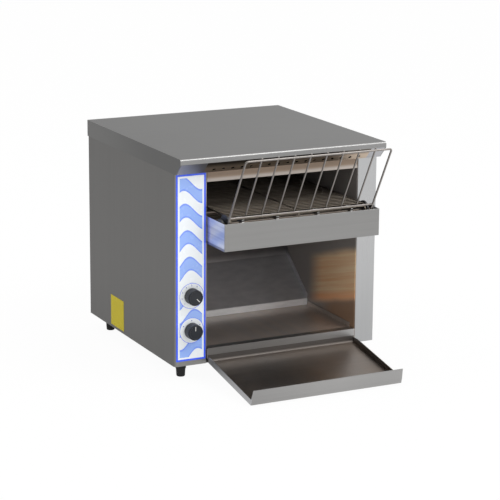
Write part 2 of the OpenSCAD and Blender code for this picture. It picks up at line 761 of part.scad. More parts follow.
// Outline of a chain wheel with a low tooth under each roller, the first towards +X
module chain_wheel_outline() {
    tip_r = chain_r - roller_r - tip_gap;
    difference() {
        circle(tip_r);
        for (i = [0 : chain_teeth - 1]) rotate((i + 0.5) * 360 / chain_teeth)
            translate([tip_r, 0]) circle(roller_r);
    }
}

// Chain wheel on an axis along X, its teeth lined up with the leaning chain
module chain_wheel(y, z) translate([chain_x, y, z]) difference() {
    union() {
        rotate([chain_lean, 0, 0]) rotate([90, 0, 90])
            translate([0, 0, -chain_wheel_t / 2]) linear_extrude(chain_wheel_t) chain_wheel_outline();
        rotate([0, -90, 0]) cylinder(r = wheel_hub_r, h = chain_wheel_t / 2 + wheel_hub_l);
    }
    rotate([0, 90, 0]) cylinder(r = shaft_d / 2 + push_clear, h = 40, center = true);
}

module driven_chain_wheel() color([0.35, 0.34, 0.33]) at_front() chain_wheel(drive_y, shaft_z);
module motor_chain_wheel() color([0.35, 0.34, 0.33]) at_front() chain_wheel(motor_y, motor_z);

// Closed loop of the chain's side plates in its own plane, the upper wheel at the origin
module chain_outline(g) {
    circle(chain_r + g);
    translate([0, -chain_c]) circle(chain_r + g);
    translate([-chain_r - g, -chain_c]) square([2 * (chain_r + g), chain_c]);
}

module chain_roller(y, z)
    translate([y, z, -roller_l / 2]) cylinder(r = roller_r, h = roller_l, $fn = 24);

module drive_chain() color([0.25, 0.24, 0.22]) at_front()
    translate([chain_x, drive_y, shaft_z]) rotate([chain_lean, 0, 0]) rotate([90, 0, 90]) {
        for (z = [-roller_l / 2 - chain_plate_t, roller_l / 2])
            translate([0, 0, z]) linear_extrude(chain_plate_t) difference() {
                chain_outline(chain_plate_h / 2);
                chain_outline(-chain_plate_h / 2);
            }
        for (i = [0 : chain_span], side = [-1, 1]) chain_roller(side * chain_r, -i * chain_pitch);
        for (i = [1 : chain_teeth / 2 - 1]) let (a = i * 360 / chain_teeth) {
            chain_roller(chain_r * cos(a), chain_r * sin(a));
            chain_roller(chain_r * cos(a), -chain_c - chain_r * sin(a));
        }
    }

gearbox_bore = 16;
module motor_gearbox() color([0.45, 0.45, 0.47]) at_front() difference() {
    block([wall_left, motor_y - gearbox_w / 2, motor_z - gearbox_h / 2],
          [wall_left + gearbox_d, motor_y + gearbox_w / 2, motor_z + gearbox_h / 2]);
    rod_x([wall_left - 1, motor_y, motor_z], shaft_d / 2 + run_clear, gearbox_bore + 1);
    for (p = gearbox_holes) rod_x([wall_left - 1, p.x, p.y], screw_r + push_clear, 9);
}

module motor_can() color([0.25, 0.25, 0.26]) at_front() {
    can_left = wall_left + gearbox_d;
    rod_x([can_left, motor_y, motor_z], motor_d / 2, motor_l);
    rod_x([can_left + motor_l, motor_y, motor_z], motor_d / 5, 6);
}

module motor_shaft() color([0.75, 0.75, 0.75]) at_front()
    rod_x([drive_left_x, motor_y, motor_z], shaft_d / 2, wall_left + gearbox_bore - 1 - drive_left_x);

module motor_screws() color([0.6, 0.6, 0.6]) at_front() for (p = gearbox_holes) {
    rod_x([bay_left, p.x, p.y], screw_r, sheet + 7);
    rod_x([bay_left - head_h, p.x, p.y], head_r, head_h);
}

// ---- Heating ----

module heater(y, z) {
    rod_x([bay_left - element_out, y, z], element_d / 2, bay_right - bay_left + 2 * element_out);
    rod_x([bay_left - element_out - pin_l, y, z], pin_r,
          bay_right - bay_left + 2 * (element_out + pin_l));
}

module upper_elements() color([0.3, 0.26, 0.22]) at_front() for (y = upper_ys) heater(y, upper_z);
module lower_elements() color([0.3, 0.26, 0.22]) at_front() for (y = lower_ys) heater(y, shaft_z);

module element_insulators() color([0.9, 0.88, 0.82]) at_front() for (p = element_spots) difference() {
    union() {
        rod_x([bay_left, p.x, p.y], insulator_r, sheet + 2);
        rod_x([bay_left - insulator_flange_t, p.x, p.y], element_d / 2 + insulator_flange,
              insulator_flange_t);
        rod_x([wall_right - 2, p.x, p.y], insulator_r, sheet + 2);
        rod_x([bay_right, p.x, p.y], element_d / 2 + insulator_flange, insulator_flange_t);
    }
    rod_x([x_left, p.x, p.y], element_d / 2 + push_clear, body_w);
}

module limit_thermostat() color([0.15, 0.15, 0.15]) at_front() {
    can_l = 9;
    lead_l = 8;
    sink = 1;                           // how far each lead stands in the can
    thermostat_y = upper_first_y + upper_step / 2;
    thermostat_z = shaft_z + thermostat_rise;
    rod_x([bay_left - can_l, thermostat_y, thermostat_z], 8, can_l);
    for (dy = [-4, 4])
        rod_x([bay_left - can_l - lead_l, thermostat_y + dy, thermostat_z], 1.2, lead_l + sink);
}

// ---- Fan ----

module fan_screw_holes(y, l) for (dx = [-1, 1], dz = [-1, 1])
    rod_y([fan_x + dx * fan_hole, y, fan_z + dz * fan_hole], screw_r + hole_clear, l);

module fan_frame() color([0.08, 0.08, 0.08]) at_front() {
    boss_r = 16;
    boss_t = 3;
    difference() {
        block([fan_x - fan_size / 2, fan_y, fan_z - fan_size / 2],
              [fan_x + fan_size / 2, fan_y + fan_d, fan_z + fan_size / 2]);
        rod_y([fan_x, fan_y - 1, fan_z], fan_bore_r, fan_d + 2);
        fan_screw_holes(fan_y - 1, fan_d + 2);
    }
    rod_y([fan_x, fan_y, fan_z], boss_r, boss_t);
    for (i = [0 : 2]) translate([fan_x, fan_y, fan_z]) rotate([0, i * 120 + 30, 0])
        translate([boss_r - 1, 0, -2]) cube([fan_bore_r - boss_r + 2, boss_t, 4]);
    rod_y([fan_x, fan_y + boss_t - 0.5, fan_z], fan_pin_r, fan_d / 2);
}

module fan_impeller() color([0.1, 0.1, 0.1]) at_front() translate([fan_x, fan_y + 5, fan_z]) {
    hub_r = 15;
    hub_l = fan_d - 10;
    blades = 7;
    difference() {
        rotate([-90, 0, 0]) cylinder(r = hub_r, h = hub_l);
        translate([0, -1, 0]) rotate([-90, 0, 0])
            cylinder(r = fan_pin_r + run_clear, h = fan_d / 2);
    }
    intersection() {
        translate([0, 1, 0]) rotate([-90, 0, 0]) cylinder(r = fan_bore_r - 1.5, h = hub_l - 2);
        for (i = [0 : blades - 1]) rotate([0, i * 360 / blades, 0])
            translate([hub_r - 1, hub_l / 2, 0]) rotate([38, 0, 0])
                translate([0, -0.8, -13]) cube([fan_bore_r, 1.6, 26]);
    }
}

guard_wire_r = 1;
module fan_guard() color([0.75, 0.75, 0.75]) at_front()
    translate([fan_x, body_d + guard_wire_r + sheet, fan_z]) {
        for (r = [10 : 9 : fan_bore_r]) rotate([-90, 0, 0])
            rotate_extrude() translate([r, 0]) circle(guard_wire_r, $fn = 24);
        for (i = [0 : 1]) rotate([0, 45 + 90 * i, 0])
            rod_x([-fan_hole * sqrt(2) + 4, -1.2, 0], guard_wire_r, 2 * (fan_hole * sqrt(2) - 4));
        // eyes under the screw heads
        for (dx = [-1, 1], dz = [-1, 1]) difference() {
            rod_y([dx * fan_hole, -guard_wire_r - sheet, dz * fan_hole], head_r + 1.2, sheet);
            rod_y([dx * fan_hole, -guard_wire_r - 2 * sheet, dz * fan_hole], screw_r + hole_clear, 3 * sheet);
        }
    }

module fan_screws() color([0.6, 0.6, 0.6]) at_front() for (dx = [-1, 1], dz = [-1, 1])
    translate([fan_x + dx * fan_hole, body_d + sheet, fan_z + dz * fan_hole])
        rotate([0, 0, 180]) screw_y([0, 0, 0], fan_d + 2 * sheet - 1);

// ---- Controls ----

board_y = 70;
board_z = 180;
board_w = 90;
board_h = 60;
board_t = 1.6;
spacer_l = 8;
board_spots = [for (dy = [6, board_w - 6], dz = [6, board_h - 6]) [board_y + dy, board_z + dz]];

module board_spacers() color([0.85, 0.85, 0.8]) at_front() for (p = board_spots)
    rod_x([bay_left - spacer_l, p.x, p.y], 3, spacer_l);

module speed_board() color([0.12, 0.35, 0.18]) at_front() {
    board_x = bay_left - spacer_l - board_t;
    sink = 0.1;                         // how far the parts on the board stand in it
    relay = [16, 28, 24];
    terminal = [10, 36, 10];
    capacitor_l = 12;
    capacitor_step = 12;
    block([board_x, board_y, board_z], [board_x + board_t, board_y + board_w, board_z + board_h]);
    translate([board_x - relay.x, board_y + 10, board_z + 12]) cube(relay + [sink, 0, 0]);
    for (i = [0 : 2])
        rod_x([board_x - capacitor_l, board_y + 52 + i * capacitor_step, board_z + 20], 5,
              capacitor_l + sink);
    translate([board_x - terminal.x, board_y + 48, board_z + 36]) cube(terminal + [sink, 0, 0]);
}

// Threaded bush that holds a control in the strip, bored for its shaft
module panel_bush(z) rod_y([knob_x, -overlay_t - panel_nut_t - 0.4, z], panel_bush_r,
                           overlay_t + panel_nut_t + sheet + 1);

module shaft_bore(z) rod_y([knob_x, -knob_h, z], dial_shaft_r + run_clear, knob_h + sheet + control_d - 2);

module speed_pot() color([0.25, 0.3, 0.3]) at_front() difference() {
    union() {
        rod_y([knob_x, sheet, speed_z], 8.5, control_d);
        panel_bush(speed_z);
        for (dx = [-5, 0, 5])
            block([knob_x + dx - 1, sheet + 5, speed_z - 14], [knob_x + dx + 1, sheet + 6, speed_z - 7]);
    }
    shaft_bore(speed_z);
}

module selector_switch() color([0.15, 0.15, 0.16]) at_front() difference() {
    union() {
        block([knob_x - 15, sheet, selector_z - 15], [knob_x + 15, sheet + control_d + 10, selector_z + 15]);
        panel_bush(selector_z);
        for (dx = [-8, 0, 8], dz = [-8, 8])
            block([knob_x + dx - 2, sheet + control_d + 9, selector_z + dz - 0.5],
                  [knob_x + dx + 2, sheet + control_d + 18, selector_z + dz + 0.5]);
    }
    shaft_bore(selector_z);
}

module dial_shaft(z) rod_y([knob_x, -knob_h + 3, z], dial_shaft_r, knob_h - 3 + sheet + control_d - 3);
module pot_shaft() color([0.7, 0.7, 0.7]) at_front() dial_shaft(speed_z);
module selector_shaft() color([0.7, 0.7, 0.7]) at_front() dial_shaft(selector_z);

module panel_nuts() color([0.7, 0.7, 0.68]) at_front() for (z = [speed_z, selector_z])
    translate([knob_x, -overlay_t, z]) rotate([90, 0, 0]) difference() {
        cylinder(r = 6.5, h = panel_nut_t, $fn = 6);
        translate([0, 0, -1]) cylinder(r = panel_bush_r + push_clear, h = panel_nut_t + 2);
    }

// Fluted knob, its pointer groove turned clockwise by the angle
module knob(z, pointer) {
    back = overlay_t + knob_gap;
    face_r = knob_d / 2 - 3.2;
    flutes = 24;
    translate([knob_x, -back, z]) rotate([90, pointer, 0]) difference() {
        rotate_extrude() polygon([
            [0, 0], [knob_d / 2, 0], [knob_d / 2 - 0.3, knob_h - back - 1.2],
            [knob_d / 2 - 1.5, knob_h - back], [face_r, knob_h - back],
            [face_r - 0.6, knob_h - back - 0.8], [0, knob_h - back - 0.8]]);
        for (i = [0 : flutes - 1]) rotate(i * 360 / flutes)
            translate([knob_d / 2 + 0.35, 0, 3]) cylinder(r = 0.9, h = knob_h, $fn = 16);
        translate([0, 0, -1]) cylinder(r = 9, h = 1 + panel_nut_t + 1.2);
        translate([0, 0, -1]) cylinder(r = dial_shaft_r + push_clear, h = knob_h - back - 2);
        translate([-0.7, 3, knob_h - back - 1.4]) cube([1.4, face_r - 3.2, 2]);
    }
}

speed_pointer = 135;
selector_pointer = 0;
module speed_knob() color([0.05, 0.05, 0.06]) at_front() knob(speed_z, speed_pointer);
module selector_knob() color([0.05, 0.05, 0.06]) at_front() knob(selector_z, selector_pointer);

overlay_left = x_left + (control_w - overlay_w) / 2 + 1;
module control_overlay() color([0.85, 0.9, 1]) at_front() difference() {
    block([overlay_left, -overlay_t, overlay_z],
          [overlay_left + overlay_w, 0, canopy_z - overlay_gap]);
    for (z = [speed_z, selector_z]) rod_y([knob_x, -1, z], panel_bush_r + hole_clear, 2);
}

label_t = 0.3;
label_d = 60;
label_h = 57;
label_y = body_d - label_back - label_d;
label_z = foot_h + 5;
module side_label() color([0.75, 0.68, 0.15]) at_front()
    block([x_left - label_t, label_y, label_z], [x_left, label_y + label_d, label_z + label_h]);

// ---- Supply and feet ----

module terminal_block() color([0.9, 0.9, 0.85]) at_front() difference() {
    union() {
        block([gland_x - 18, body_d - 75, pan_top], [gland_x + 18, body_d - 45, pan_top + 14]);
        for (i = [0 : 3]) block([gland_x - 18 + i * 9.6, body_d - 75, pan_top + 13],
                                [gland_x - 11 + i * 9.6, body_d - 45, pan_top + 20]);
    }
    for (i = [0 : 3]) rod_y([gland_x - 14.5 + i * 9.6, body_d - 76, pan_top + 9], 2, 32);
}

module cord_gland() color([0.1, 0.1, 0.1]) at_front() difference() {
    union() {
        rod_y([gland_x, body_d - 12, gland_z], gland_thread_r, 12.5);
        translate([gland_x, body_d, gland_z]) rotate([-90, 0, 0])
            cylinder(r = gland_thread_r + 4, h = 5, $fn = 6);
        rod_y([gland_x, body_d + 4, gland_z], gland_thread_r + 1.5, gland_out - 4);
    }
    rod_y([gland_x, body_d - 14, gland_z], gland_bore_r, gland_out + 16);
}

module gland_locknut() color([0.12, 0.12, 0.12]) at_front()
    translate([gland_x, body_d - sheet, gland_z]) rotate([90, 0, 0]) difference() {
        cylinder(r = gland_thread_r + 4, h = 4, $fn = 6);
        translate([0, 0, -1]) cylinder(r = gland_thread_r + push_clear, h = 6);
    }

foot_top_r = 10;
foot_low_r = 7.6;
foot_step = 0.55;                       // share of the height at which the foot narrows
module rubber_feet() color([0.05, 0.05, 0.05]) at_front() for (x = foot_xs, y = foot_ys)
    translate([x, y, 0]) difference() {
        rotate_extrude() polygon([
            [0, 0], [foot_low_r - 1, 0], [foot_low_r, 1], [foot_low_r + 0.8, foot_h * foot_step - 2],
            [foot_top_r - 0.6, foot_h * foot_step], [foot_top_r, foot_h], [0, foot_h]]);
        translate([0, 0, foot_h - 14]) cylinder(r = foot_screw_r + push_clear, h = 20);
    }

module foot_screws() color([0.6, 0.6, 0.6]) at_front() for (x = foot_xs, y = foot_ys) {
    rod_z([x, y, foot_h - 13], foot_screw_r, 13 + sheet + 0.5);
    rod_z([x, y, pan_top], foot_head_r, 3);
}

module cover_screws() color([0.7, 0.7, 0.7]) at_front() for (x = cover_screw_xs)
    translate([x, cover_rear, cover_screw_z]) rotate([0, 0, 180]) screw_y([0, 0, 0], 8);

module back_screws() color([0.7, 0.7, 0.7]) at_front() for (x = back_screw_xs, z = back_screw_zs)
    translate([x, body_d, z]) rotate([0, 0, 180]) screw_y([0, 0, 0], 8);

top_cover();
header_plate();
left_side_panel();
right_side_panel();
back_panel();
base_pan();
left_inner_wall();
right_inner_wall();
upper_reflector();
chamber_deck();
rear_chute();
holding_floor();
discharge_tray();
infeed_box();
rack_sockets();
feed_rack();
conveyor_belt();
idler_shaft();
idler_sprockets();
guide_discs();
idler_bearings();
drive_shaft();
drive_sprockets();
shaft_bushes();
shaft_collars();
driven_chain_wheel();
motor_chain_wheel();
drive_chain();
motor_gearbox();
motor_can();
motor_shaft();
motor_screws();
upper_elements();
lower_elements();
element_insulators();
fan_frame();
fan_impeller();
fan_guard();
fan_screws();
speed_board();
board_spacers();
speed_pot();
pot_shaft();
selector_switch();
selector_shaft();
panel_nuts();
speed_knob();
selector_knob();
limit_thermostat();
terminal_block();
cord_gland();
gland_locknut();
control_overlay();
side_label();
rubber_feet();
foot_screws();
cover_screws();
back_screws();
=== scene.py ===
import math

import bpy
from mathutils import Matrix, Vector


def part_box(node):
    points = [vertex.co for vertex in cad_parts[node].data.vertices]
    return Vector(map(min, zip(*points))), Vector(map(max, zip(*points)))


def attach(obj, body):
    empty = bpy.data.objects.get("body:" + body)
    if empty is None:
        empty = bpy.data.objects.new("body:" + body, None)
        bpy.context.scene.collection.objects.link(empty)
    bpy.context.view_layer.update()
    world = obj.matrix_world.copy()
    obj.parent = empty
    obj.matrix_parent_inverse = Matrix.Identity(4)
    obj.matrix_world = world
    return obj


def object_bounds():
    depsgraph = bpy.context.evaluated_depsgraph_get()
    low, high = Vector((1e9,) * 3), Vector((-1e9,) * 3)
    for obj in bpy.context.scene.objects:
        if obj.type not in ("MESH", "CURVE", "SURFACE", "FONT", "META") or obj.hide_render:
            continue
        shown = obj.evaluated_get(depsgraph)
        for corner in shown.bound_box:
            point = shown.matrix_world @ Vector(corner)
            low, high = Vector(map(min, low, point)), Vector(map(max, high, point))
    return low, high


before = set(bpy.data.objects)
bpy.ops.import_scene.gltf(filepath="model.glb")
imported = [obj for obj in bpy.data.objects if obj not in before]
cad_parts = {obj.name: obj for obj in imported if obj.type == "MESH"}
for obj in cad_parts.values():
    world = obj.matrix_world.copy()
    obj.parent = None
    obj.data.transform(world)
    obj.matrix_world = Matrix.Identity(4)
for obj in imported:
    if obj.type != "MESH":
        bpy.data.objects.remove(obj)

cad_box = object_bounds()
bpy.ops.object.select_all(action="DESELECT")


# ---- Base pan ----
# The shallow tray that the whole machine is screwed down to. It is laser cut
# from brushed stainless sheet and folded on a press brake, so its edges are
# slightly rounded and its hair lines run across the machine.

class Value:
    """What a shader node gives out, ready for sums and comparisons."""

    def __init__(self, finish, socket):
        self.finish = finish
        self.socket = socket

    def maths(self, operation, first, second=0.0):
        return self.finish.node("Math", {"operation": operation}, {0: first, 1: second})

    def __add__(self, other):
        return self.maths("ADD", self, other)

    def __radd__(self, other):
        return self.maths("ADD", other, self)

    def __sub__(self, other):
        return self.maths("SUBTRACT", self, other)

    def __rsub__(self, other):
        return self.maths("SUBTRACT", other, self)

    def __mul__(self, other):
        return self.maths("MULTIPLY", self, other)

    def __rmul__(self, other):
        return self.maths("MULTIPLY", other, self)

    def __truediv__(self, other):
        return self.maths("DIVIDE", self, other)

    def __mod__(self, other):
        return self.maths("FLOORED_MODULO", self, other)

    def __gt__(self, other):
        return self.maths("GREATER_THAN", self, other)

    def __lt__(self, other):
        return self.maths("LESS_THAN", self, other)

    def __abs__(self):
        return self.maths("ABSOLUTE", self)

    def sine(self):
        return self.maths("SINE", self)

    def least(self, other):
        return self.maths("MINIMUM", self, other)

    def most(self, other):
        return self.maths("MAXIMUM", self, other)


class Finish:
    """A surface finish: one material, its nodes written as sums."""

    def __init__(self, name, metallic=0.0, roughness=0.5, coat=0.0):
        self.material = bpy.data.materials.new(name)
        self.material.use_nodes = True
        self.tree = self.material.node_tree
        self.shader = self.tree.nodes["Principled BSDF"]
        self.feed("Metallic", metallic)
        self.feed("Roughness", roughness)
        self.feed("Coat Weight", coat)

    def join(self, socket, value):
        if isinstance(value, Value):
            self.tree.links.new(value.socket, socket)
        else:
            socket.default_value = value

    def node(self, kind, settings=None, inputs=None, output=0):
        """A node of any kind: its settings first, then its sockets."""
        made = self.tree.nodes.new("ShaderNode" + kind)
        for name, value in (settings or {}).items():
            setattr(made, name, value)
        for name, value in (inputs or {}).items():
            self.join(made.inputs[name], value)
        return Value(self, made.outputs[output])

    def feed(self, socket, value):
        self.join(self.shader.inputs[socket], value)

    def place(self):
        """The point of the surface, in the shared frame."""
        return self.node("TexCoord", output="Object")

    def along(self, axis, place=None):
        """How far a place lies along an axis; without a place, the point of the surface itself."""
        return self.node("SeparateXYZ", {}, {0: place or self.place()}, axis)

    def grain(self, place, scale, detail=2.0):
        """Noise from 0 to 1; scale is in marks per metre along X, Y and Z."""
        stretched = self.node("Mapping", {}, {"Vector": place, "Scale": scale})
        return self.node("TexNoise", {}, {"Vector": stretched, "Scale": 1.0, "Detail": detail}, "Fac")

    def mix(self, first, second, share):
        """The first colour, with a share of the second over it."""
        return self.node("Mix", {"data_type": "RGBA"}, {0: share, 6: first, 7: second}, 2)

    def ramp(self, value, start, end):
        """0 below start, 1 above end, and a soft step between."""
        return self.node("MapRange", {"interpolation_type": "SMOOTHSTEP"},
                         {"Value": value, "From Min": start, "From Max": end})

    def shade(self, colour, amount):
        """A colour made lighter or darker by an amount around 1."""
        return self.node("VectorMath", {"operation": "SCALE"}, {0: colour, "Scale": amount})

    def raise_by(self, height, strength, distance):
        """Let the surface catch light as if it stood higher where height is larger."""
        self.feed("Normal", self.node("Bump", {}, {
            "Strength": strength, "Distance": distance, "Height": height}))


def brush(finish, tone, grain, roughness=0.36, hair=0.10, marks=0.16):
    """Lay hair lines along one axis, faint bands and handling marks over a tone."""
    place = finish.place()
    along = "XYZ".index(grain)
    hair_scale = [1300.0] * 3
    hair_scale[along] = 9.0
    band_scale = [150.0] * 3
    band_scale[along] = 1.2
    lines = finish.grain(place, hair_scale) - 0.5
    bands = finish.grain(place, band_scale, 3.0) - 0.5
    smudges = finish.grain(place, (6.0, 6.0, 6.0), 4.0) - 0.5
    finish.feed("Base Color", finish.shade(tone, 1.0 + hair * lines + marks * bands + marks * smudges))
    finish.feed("Roughness", roughness + 0.12 * lines + 0.10 * bands + 0.14 * smudges)
    finish.raise_by(lines, 0.10, 0.0002)
    return finish


def brushed_sheet(name, tone, grain, **brushing):
    """Stainless sheet of one tone all over."""
    return brush(Finish(name, metallic=1.0), tone, grain, **brushing)


def dress(node, finish, edge=0.0004, fold=32, rolls=()):
    """Give a piece its finish and break the edges sharper than fold degrees.

    Each of rolls is a radius, and a test that picks the corners of an edge bent to it.
    """
    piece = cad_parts[node]
    if not piece.material_slots:
        piece.data.materials.append(None)
    for place in piece.material_slots:
        place.material = finish.material
    piece.data.polygons.foreach_set("use_smooth", [True] * len(piece.data.polygons))
    weld = piece.modifiers.new("weld", "WELD")
    weld.merge_threshold = 0.000005
    flats = piece.modifiers.new("flats", "DECIMATE")
    flats.decimate_type = "DISSOLVE"
    flats.angle_limit = math.radians(0.4)
    for radius, picks in rolls:
        picked = piece.vertex_groups.new(name="rolled")
        picked.add([corner.index for corner in piece.data.vertices if picks(corner.co)], 1.0, "REPLACE")
        bend = piece.modifiers.new("roll", "BEVEL")
        bend.limit_method = "VGROUP"
        bend.vertex_group = picked.name
        bend.width = radius
        bend.segments = 5
    rounding = piece.modifiers.new("edges", "BEVEL")
    rounding.width = edge
    rounding.segments = 2
    rounding.limit_method = "ANGLE"
    rounding.angle_limit = math.radians(fold)
    flat_light = piece.modifiers.new("flat_light", "WEIGHTED_NORMAL")
    flat_light.weight = 100


body_sheet = brushed_sheet("body_sheet", (0.36, 0.355, 0.35), "X")
dress("base_pan", body_sheet)


# ---- Side panels ----
# Two large sheets that close the machine left and right. The left one turns
# the front corner and carries the controls; the right one ends in a bright
# flat column, darkened towards the table by painted shade. Their hair lines
# stand upright.

column_shaded_foot = (0.40, 0.403, 0.407, 1.0)
column_bright = (0.485, 0.488, 0.492, 1.0)
column_shade_from = 0.03
column_shade_to = 0.24

left_sheet = brushed_sheet("left_sheet", (0.355, 0.348, 0.34), "Z", roughness=0.34, marks=0.16)
right_sheet = Finish("right_sheet", metallic=1.0)
# Painted shade: the column darkens towards the table.
column_tone = right_sheet.mix(column_shaded_foot, column_bright,
                              right_sheet.ramp(right_sheet.along("Z"), column_shade_from, column_shade_to))
brush(right_sheet, column_tone, "Z", roughness=0.30, hair=0.06, marks=0.10)
dress("left_side_panel", left_sheet, 0.0008)
dress("right_side_panel", right_sheet, 0.0008)


# ---- Back panel ----
# The screwed stainless sheet that closes the rear. The fan's opening, the
# louvres and the hole for the mains lead are cut through it.

dress("back_panel", body_sheet, 0.0003)


# ---- Toast bay ----
# The chamber that the toast slides through: two inner walls, a deck below the
# belt, the chute that turns the toast forward and the floor it comes to rest
# on. The sheet is plainer than the outside and has gone brown from the heat.

bay_metal = 0.72
bay_fold = 14
bay_grey = (0.50, 0.505, 0.525, 1.0)
floor_grey = (0.50, 0.49, 0.49, 1.0)
heat_brown = (0.60, 0.36, 0.17, 1.0)


def heat(finish, tone, brown, roughness):
    """Lay streaks along the slide, clouds, and a brown bloom of a given strength over a tone."""
    place = finish.place()
    streaks = finish.grain(place, (40.0, 1.6, 150.0), 3.0)
    clouds = finish.grain(place, (7.0, 5.0, 10.0), 2.0) - 0.5
    tinted = finish.mix(tone, heat_brown, (brown * (0.35 + 1.3 * streaks)).least(1.0))
    finish.feed("Base Color", finish.shade(tinted, 0.80 + 0.40 * streaks + 0.20 * clouds))
    finish.feed("Roughness", roughness + 0.16 * clouds + 0.10 * streaks)
    return finish


dull_wall = heat(Finish("dull_wall", metallic=bay_metal), bay_grey, brown=0.05, roughness=0.30)
floor_sheet = heat(Finish("floor_sheet", metallic=bay_metal), floor_grey, brown=0.25, roughness=0.26)
for sheet in ("left_inner_wall", "chamber_deck", "upper_reflector"):
    dress(sheet, dull_wall, fold=bay_fold)
dress("holding_floor", floor_sheet, fold=bay_fold)

# The chute's lip carries a painted highlight in near white, with less metal so
# the white shows, its slope is grey, and its steep upper part behind the belt's
# end is painted dark as shade.
chute_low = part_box("rear_chute")[0]
lip_skin = 0.0016
lip_top = 0.0125
chute_fold = 0.133
shade_blur = 0.006
chute_grey = (0.66, 0.67, 0.70, 1.0)
chute_shade_dark = (0.20, 0.20, 0.215, 1.0)
lip_highlight_white = (0.96, 0.98, 1.0, 1.0)

chute_sheet = Finish("chute_sheet")
chute_z = chute_sheet.along("Z")
# Painted highlight on the lip's front face.
lip_highlight = (chute_sheet.along("Y") < chute_low.y + lip_skin) * (chute_z < chute_low.z + lip_top)
# Painted shade on the steep part above the fold.
shaded_upper = chute_sheet.ramp(chute_z, chute_fold - shade_blur, chute_fold + 2 * shade_blur)
chute_tone = chute_sheet.mix(chute_grey, chute_shade_dark, shaded_upper)
heat(chute_sheet, chute_sheet.mix(chute_tone, lip_highlight_white, lip_highlight), brown=0.05, roughness=0.28)
# Less metal on the lip, so that the painted white shows.
chute_sheet.feed("Metallic", bay_metal - 0.50 * lip_highlight)
dress("rear_chute", chute_sheet, fold=bay_fold)

# The right wall carries a painted reflection of toast: a golden band that
# rises towards the front, darker brown along its foot. Below it, near the front,
# a painted shadow of the bread darkens the wall. Each edge below fades between
# two heights above the table, taken at the wall's front, or between two depths
# behind that front.
wall_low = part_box("right_inner_wall")[0]
reflection_rise = 0.27
reflection_foot = (0.100, 0.114)
reflection_head = (0.190, 0.210)
reflection_rear = (0.116, 0.180)
reflection_edge_head = (0.114, 0.128)
bread_shadow_head = (0.098, 0.114)
bread_shadow_rear = (0.075, 0.150)
level_waver = 0.016
rear_waver = 0.020
reflection_gold_deep = (0.85, 0.45, 0.20, 1.0)
reflection_gold_pale = (1.0, 0.76, 0.49, 1.0)
reflection_edge_brown = (0.92, 0.42, 0.18, 1.0)
wall_grey = (0.27, 0.245, 0.23, 1.0)
bread_shadow_brown = (0.31, 0.19, 0.12, 1.0)

painted_reflection_wall = Finish("painted_reflection_wall", metallic=0.15)
wall_x, wall_y, wall_z = (painted_reflection_wall.along(axis) for axis in "XYZ")
wall_clouds = painted_reflection_wall.grain(painted_reflection_wall.place(), (9.0, 9.0, 16.0), 2.0) - 0.5
wall_depth = wall_y - wall_low.y
slant = wall_z + reflection_rise * wall_depth
slant_place = painted_reflection_wall.node("CombineXYZ", {}, {0: wall_x, 1: wall_y, 2: slant})
wall_streaks = painted_reflection_wall.ramp(painted_reflection_wall.grain(slant_place, (20.0, 4.0, 120.0), 4.0), 0.22, 0.78)
level = slant + level_waver * wall_clouds
# Painted reflection of toast: a golden band on the wall.
toast_reflection = painted_reflection_wall.ramp(level, *reflection_foot) * (1.0 - painted_reflection_wall.ramp(level, *reflection_head)) * (
    1.0 - painted_reflection_wall.ramp(wall_depth + rear_waver * wall_clouds, *reflection_rear))
# Painted reflection: darker brown along the band's foot.
reflection_edge = 1.0 - painted_reflection_wall.ramp(level, *reflection_edge_head)
# Painted shadow of the bread below the band, near the front.
bread_shadow = (1.0 - painted_reflection_wall.ramp(level, *bread_shadow_head)) * (
    1.0 - painted_reflection_wall.ramp(wall_depth, *bread_shadow_rear))
toast_reflection_colour = painted_reflection_wall.mix(reflection_gold_deep, reflection_gold_pale, wall_streaks)
toast_reflection_colour = painted_reflection_wall.mix(toast_reflection_colour, reflection_edge_brown, 0.8 * reflection_edge)
wall_bare = painted_reflection_wall.mix(wall_grey, bread_shadow_brown, bread_shadow)
painted_reflection_wall.feed("Base Color", painted_reflection_wall.mix(wall_bare, toast_reflection_colour, 0.95 * toast_reflection))
painted_reflection_wall.feed("Roughness", 0.30 + 0.12 * wall_streaks)
dress("right_inner_wall", painted_reflection_wall)


# ---- Heating elements ----
# Straight rods, a steel sheath round a coil in packed powder, that glow above
# and below the belt. Their ends pass through white ceramic insulators in the
# inner walls, and a small thermostat on the wall watches the heat.

sheath_dark = (0.11, 0.085, 0.07, 1.0)
sheath_pale = (0.26, 0.22, 0.19, 1.0)
sheath = Finish("element_sheath", metallic=1.0)
scale_spots = sheath.grain(sheath.place(), (60.0, 220.0, 220.0), 4.0)
sheath.feed("Base Color", sheath.mix(sheath_dark, sheath_pale, scale_spots))
sheath.feed("Roughness", 0.38 + 0.24 * scale_spots)

ceramic = Finish("ceramic", roughness=0.5, coat=0.2)
fired = ceramic.grain(ceramic.place(), (500.0, 500.0, 500.0), 3.0)
ceramic.feed("Base Color", ceramic.shade((0.78, 0.75, 0.69), 0.88 + 0.22 * fired))
ceramic.raise_by(fired, 0.1, 0.0002)


def moulded(name, tone, roughness, coat=0.0, texture=0.12):
    """Moulded plastic: a fine even texture and faint wear."""
    finish = Finish(name, coat=coat)
    place = finish.place()
    stipple = finish.grain(place, (1600.0, 1600.0, 1600.0), 2.0) - 0.5
    wear = finish.grain(place, (45.0, 45.0, 45.0), 4.0) - 0.5
    finish.feed("Base Color", finish.shade(tone, 1.0 + 0.35 * wear + 0.15 * stipple))
    finish.feed("Roughness", roughness + 0.14 * wear + 0.06 * stipple)
    finish.raise_by(stipple, texture, 0.0001)
    return finish


black_plastic = moulded("black_plastic", (0.022, 0.022, 0.023), 0.46)
dress("upper_elements", sheath, 0.0002)
dress("lower_elements", sheath, 0.0002)
dress("element_insulators", ceramic, 0.0003)
dress("limit_thermostat", black_plastic, 0.0003)


